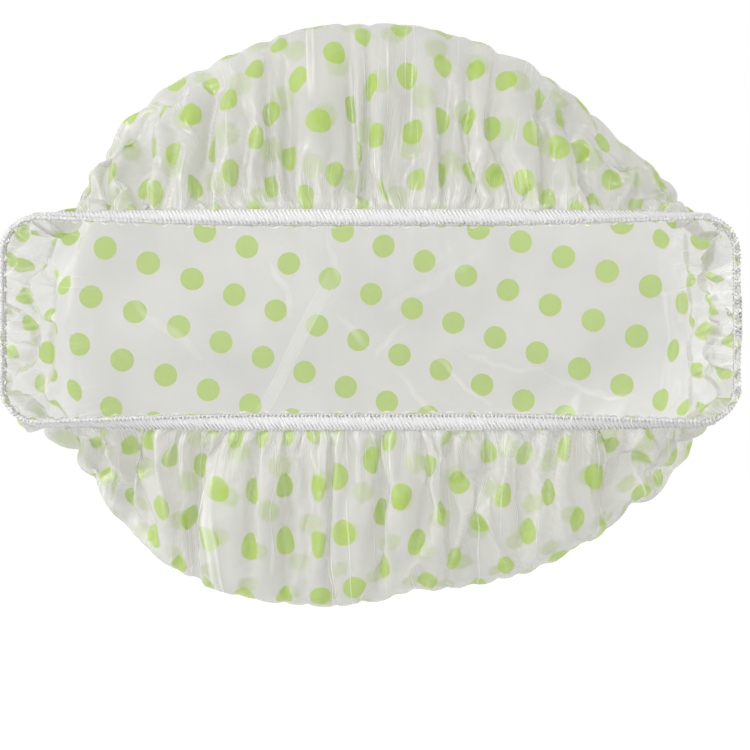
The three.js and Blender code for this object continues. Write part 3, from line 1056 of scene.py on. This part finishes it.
class SHOWERCAP_OT_stitching(CapOperator, bpy.types.Operator):
    """Makes the three overlock threads, which sew the band to the film"""
    bl_idname = "shower_cap.stitching"
    bl_label = "Overlock threads"

    def execute(self, context):
        cap = self.cap(context)
        hem = cap.hem
        thread = hem.looper_thread
        thick = thread * THREAD_PRESS
        top = band_lift(hem) + hem.band_thickness / 2 + thick / 2
        skirt = hem.seam_width / 2 - thread / 3
        mouth = -hem.seam_width / 2
        under = -thick / 2 - millimetres(0.1)
        shoulder = hem.band_width / 2
        # Each loop crosses its face of the hem, meets the other's at the mouth's edge, and comes back
        upper = [
            (0.2, skirt, top * 0.5), (-0.2, skirt, top * 0.5), (-0.3, shoulder, top),
            (-1.1, 0.0, top + thick * 0.2), (-1.9, mouth * 0.85, top), (-2.3, mouth, top * 0.25),
            (-1.8, mouth, top * 0.25), (-1.7, mouth * 0.85, top - thick * 0.2), (-0.5, 0.0, top),
            (0.7, shoulder, top - thick * 0.1),
        ]
        over_edge = (mouth + thread * 0.35, top + thick * 0.6)
        at_edge = (mouth - thick / 2, top * 0.4)
        lower = [
            (0.0, skirt, under), (-0.8, 0.0, under - thick * 0.2), (-1.6, mouth * 0.9, under),
            (-1.8, *at_edge), (-1.9, *over_edge), (-1.4, *over_edge), (-1.35, *at_edge),
            (-1.3, mouth * 0.85, under), (-0.4, 0.0, under + thick * 0.2),
        ]
        needle = [
            (on, skirt, top * 0.5 + thick * out)
            for on, out in ((0.0, 0.4), (0.35, 0.8), (0.65, 0.4), (0.85, -0.2))
        ]
        white = thread_material(hem.thread_colour)
        threads = (
            ("upper_looper_loops", "upper_looper_thread", upper, thread, "along", True),
            ("lower_looper_loops", "lower_looper_thread", lower, thread, "along", False),
            ("needle_stitches", "needle_thread", needle, hem.needle_thread, "across", False),
        )
        for name, node, stitch, diameter, reference, over_lap in threads:
            piece = thread_piece(name, stitch, diameter, reference, cap, white, over_lap)
            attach(piece, BODY)
            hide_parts(node)
        return {"FINISHED"}


class SHOWERCAP_OT_stage(CapOperator, bpy.types.Operator):
    """Makes the floor, the light and the camera"""
    bl_idname = "shower_cap.stage"
    bl_label = "Stage"

    def execute(self, context):
        stage = self.cap(context).stage
        scene = context.scene
        scene.view_settings.view_transform = "Standard"
        self.floor(stage)
        self.sky(scene, stage)
        self.lamps()
        self.camera(scene, stage)
        return {"FINISHED"}

    def floor(self, stage):
        shape = bmesh.new()
        bmesh.ops.create_grid(shape, x_segments=2, y_segments=2, size=stage.floor_size / 2)
        bmesh.ops.translate(shape, verts=shape.verts, vec=(0, 0, -stage.floor_drop))
        floor = new_piece("floor", shape)
        floor.data.materials.append(floor_material())

    def sky(self, scene, stage):
        world = bpy.data.worlds.new("soft_sky")
        scene.world = world
        world.use_nodes = True
        add, show = node_adder(world.node_tree, "OutputWorld")
        strength = ramp(add, stage_is_seen(add), 0, 1, stage.sky, 1)
        show(add("Background", {"Color": WHITE, "Strength": strength}))

    def lamps(self):
        aim = Vector(LAMP_AIM)
        for name, place, width, height, power in LAMPS:
            light = bpy.data.lights.new(name, "AREA")
            light.shape = "RECTANGLE"
            light.size, light.size_y = width, height
            light.energy = power
            lamp = new_object(name, light)
            lamp.location = place
            lamp.rotation_euler = (aim - lamp.location).to_track_quat("-Z", "Y").to_euler()

    def camera(self, scene, stage):
        camera = new_object("camera", bpy.data.cameras.new("camera"))
        camera.data.sensor_width = 36
        camera.data.lens = stage.lens
        camera.data.clip_start = 0.01
        camera.location = (stage.camera_side, -stage.camera_distance, -stage.camera_drop)
        camera.rotation_euler = (math.pi / 2, 0, 0)
        scene.camera = camera


class SHOWERCAP_PT_panel(bpy.types.Panel):
    """Lists the cap's sizes and the steps that make it"""
    bl_label = "Shower cap"
    bl_idname = "SHOWERCAP_PT_panel"
    bl_space_type = "VIEW_3D"
    bl_region_type = "UI"
    bl_category = "Shower cap"

    def draw(self, context):
        cap = context.scene.shower_cap
        for group in (cap.hem, cap.film, cap.stage):
            box = self.layout.box()
            for name in group.__annotations__:
                box.prop(group, name)
        for operator in OPERATORS:
            self.layout.operator(operator.bl_idname)


OPERATORS = (SHOWERCAP_OT_film, SHOWERCAP_OT_band, SHOWERCAP_OT_stitching, SHOWERCAP_OT_stage)
CLASSES = (CapHemSettings, CapFilmSettings, CapStageSettings, CapSettings, *OPERATORS, SHOWERCAP_PT_panel)


def register():
    for part in CLASSES:
        bpy.utils.register_class(part)
    bpy.types.Scene.shower_cap = PointerProperty(type=CapSettings)


def unregister():
    del bpy.types.Scene.shower_cap
    for part in reversed(CLASSES):
        bpy.utils.unregister_class(part)


def main():
    register()
    bpy.ops.shower_cap.film()
    bpy.ops.shower_cap.band()
    bpy.ops.shower_cap.stitching()
    bpy.ops.shower_cap.stage()


if __name__ == "__main__":
    main()
